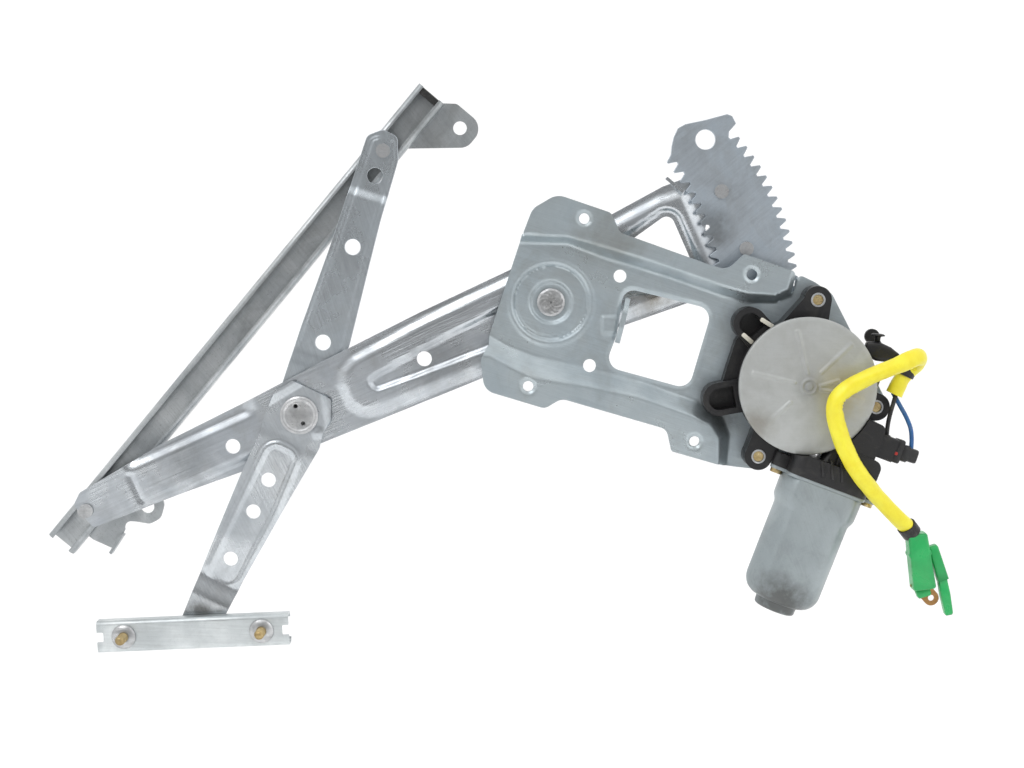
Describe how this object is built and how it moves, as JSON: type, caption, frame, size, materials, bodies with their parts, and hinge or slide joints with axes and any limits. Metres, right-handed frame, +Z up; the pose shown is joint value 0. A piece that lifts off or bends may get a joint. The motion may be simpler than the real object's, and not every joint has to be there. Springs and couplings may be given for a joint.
{
  "type": "cross-arm power window regulator",
  "caption": "Cross-arm power window regulator: toothed sector arm, crossed equalizer arm, roller rails, plate, gearmotor and sleeved loom.",
  "frame": {"origin": "centre of the four plate bolt holes, in the plate's front face", "axes": "+X towards the motor, +Z up, +Y away from the door panel that the plate is bolted to"},
  "size_m": [0.5524, 0.0795, 0.3462],
  "materials": {
    "plate_zinc": "dull zinc plated pressed sheet",
    "arm_zinc": "bright bluish zinc plated pressed sheet",
    "rail_zinc": "dull zinc plated rolled channel",
    "bright_steel": "bright machined steel",
    "core_steel": "oiled dark steel",
    "can_steel": "drawn grey steel can",
    "cover_paint": "satin grey cover",
    "black_plastic": "moulded black",
    "grey_plastic": "moulded dark grey",
    "red_plastic": "moulded red",
    "white_plastic": "natural moulded",
    "roller_plastic": "black low-friction moulding",
    "green_plastic": "moulded green",
    "yellow_vinyl": "soft vinyl tube",
    "blue_wire": "wire insulation",
    "black_wire": "wire insulation",
    "black_tape": "wound tape",
    "black_rubber": "moulded rubber",
    "yellow_zinc": "yellow passivated zinc",
    "bronze": "sintered bronze",
    "copper": "enamelled copper",
    "ferrite": "pressed ferrite or carbon"
  },
  "bodies": {
    "plate": {"base_plate": "plate_zinc", "main_pivot_rivet": "bright_steel", "pivot_washer": "bright_steel", "gear_housing": "black_plastic", "gear_cover": "cover_paint", "cover_gasket": "black_rubber", "mount_sleeves": "bright_steel", "mount_screws": "yellow_zinc", "motor_can": "can_steel", "motor_magnets": "ferrite", "can_screws": "bright_steel", "end_bearing": "bronze", "brush_holder": "black_plastic", "motor_brushes": "ferrite", "brush_springs": "bright_steel", "worm_bearing": "bronze", "thrust_plug": "white_plastic", "shaft_seal": "black_rubber", "motor_socket": "black_plastic", "motor_plug": "grey_plastic", "plug_lock": "red_plastic", "wire_blue": "blue_wire", "wire_black": "black_wire", "yellow_sleeve": "yellow_vinyl", "sleeve_clip": "black_plastic", "harness_bracket": "black_plastic", "harness_connector": "green_plastic", "connector_lever": "green_plastic", "connector_terminal": "bright_steel", "tape_ring": "black_tape"},
    "main_arm": {"main_arm": "arm_zinc", "sector_gear": "arm_zinc", "sector_rivets": "bright_steel", "lift_pin": "bright_steel"},
    "equalizer": {"equalizer_front_arm": "arm_zinc", "equalizer_rear_arm": "arm_zinc", "cross_pivot_hub": "bright_steel", "cross_pivot_washer": "bright_steel", "rear_arm_pin": "bright_steel", "front_arm_pin": "bright_steel"},
    "lift_roller": {"lift_roller": "roller_plastic"},
    "equalizer_roller": {"equalizer_roller": "roller_plastic"},
    "guide_roller": {"guide_roller": "roller_plastic"},
    "glass_rail": {"glass_rail": "rail_zinc", "upper_rail_bracket": "rail_zinc", "lower_rail_bracket": "rail_zinc", "rail_end_stop": "black_rubber"},
    "guide_rail": {"guide_rail": "rail_zinc", "guide_rail_studs": "bright_steel"},
    "pinion": {"output_pinion": "core_steel", "worm_wheel": "white_plastic", "drive_damper": "black_rubber", "drive_plate": "bright_steel"},
    "armature": {"armature_core": "core_steel", "armature_windings": "copper", "commutator": "copper", "armature_shaft": "bright_steel"}
  },
  "joints": [
    {"name": "main_arm_pivot", "type": "hinge", "parent": "plate", "child": "main_arm", "pos_m": [-0.0532, 0.016, 0.0167], "axis": [0, 1, 0], "range_deg": [-22, 57]},
    {"name": "pinion_spin", "type": "hinge", "parent": "plate", "child": "pinion", "pos_m": [0.09789, 0, -0.03161], "axis": [0, 1, 0], "range_deg": [-840, 326]},
    {"name": "armature_spin", "type": "hinge", "parent": "plate", "child": "armature", "pos_m": [0.12766, -0.0095, -0.04279], "axis": [-0.3518, 0, -0.9361], "range_deg": [-22700, 58700]},
    {"name": "cross_pivot", "type": "hinge", "parent": "main_arm", "child": "equalizer", "pos_m": [-0.20671, 0.016, -0.05229], "axis": [0, 1, 0], "range_deg": [-22, 102]},
    {"name": "rail_swivel", "type": "hinge", "parent": "main_arm", "child": "lift_roller", "pos_m": [-0.33869, 0.03, -0.11161], "axis": [0, 1, 0], "range_deg": [-12.5, 56]},
    {"name": "glass_rail_slide", "type": "slide", "parent": "lift_roller", "child": "glass_rail", "axis": [0.6413, 0, 0.7673], "range_m": [-0.007, 0.014]},
    {"name": "equalizer_roller_spin", "type": "hinge", "parent": "equalizer", "child": "equalizer_roller", "pos_m": [-0.15528, 0.03, 0.10838], "axis": [0, 1, 0], "continuous": true},
    {"name": "guide_swivel", "type": "hinge", "parent": "equalizer", "child": "guide_roller", "pos_m": [-0.27124, 0.003, -0.18459], "axis": [0, 1, 0], "range_deg": [-100, 100]},
    {"name": "guide_rail_slide", "type": "slide", "parent": "guide_roller", "child": "guide_rail", "axis": [0.9991, 0, 0.0427], "range_m": [-0.042, 0.042]}
  ],
  "couplings": [
    {"joint": "pinion_spin", "follows": "main_arm_pivot", "ratio": -14.667},
    {"joint": "armature_spin", "follows": "main_arm_pivot", "ratio": 1026.7},
    {"joint": "rail_swivel", "follows": "cross_pivot", "ratio": 0.541}
  ]
}
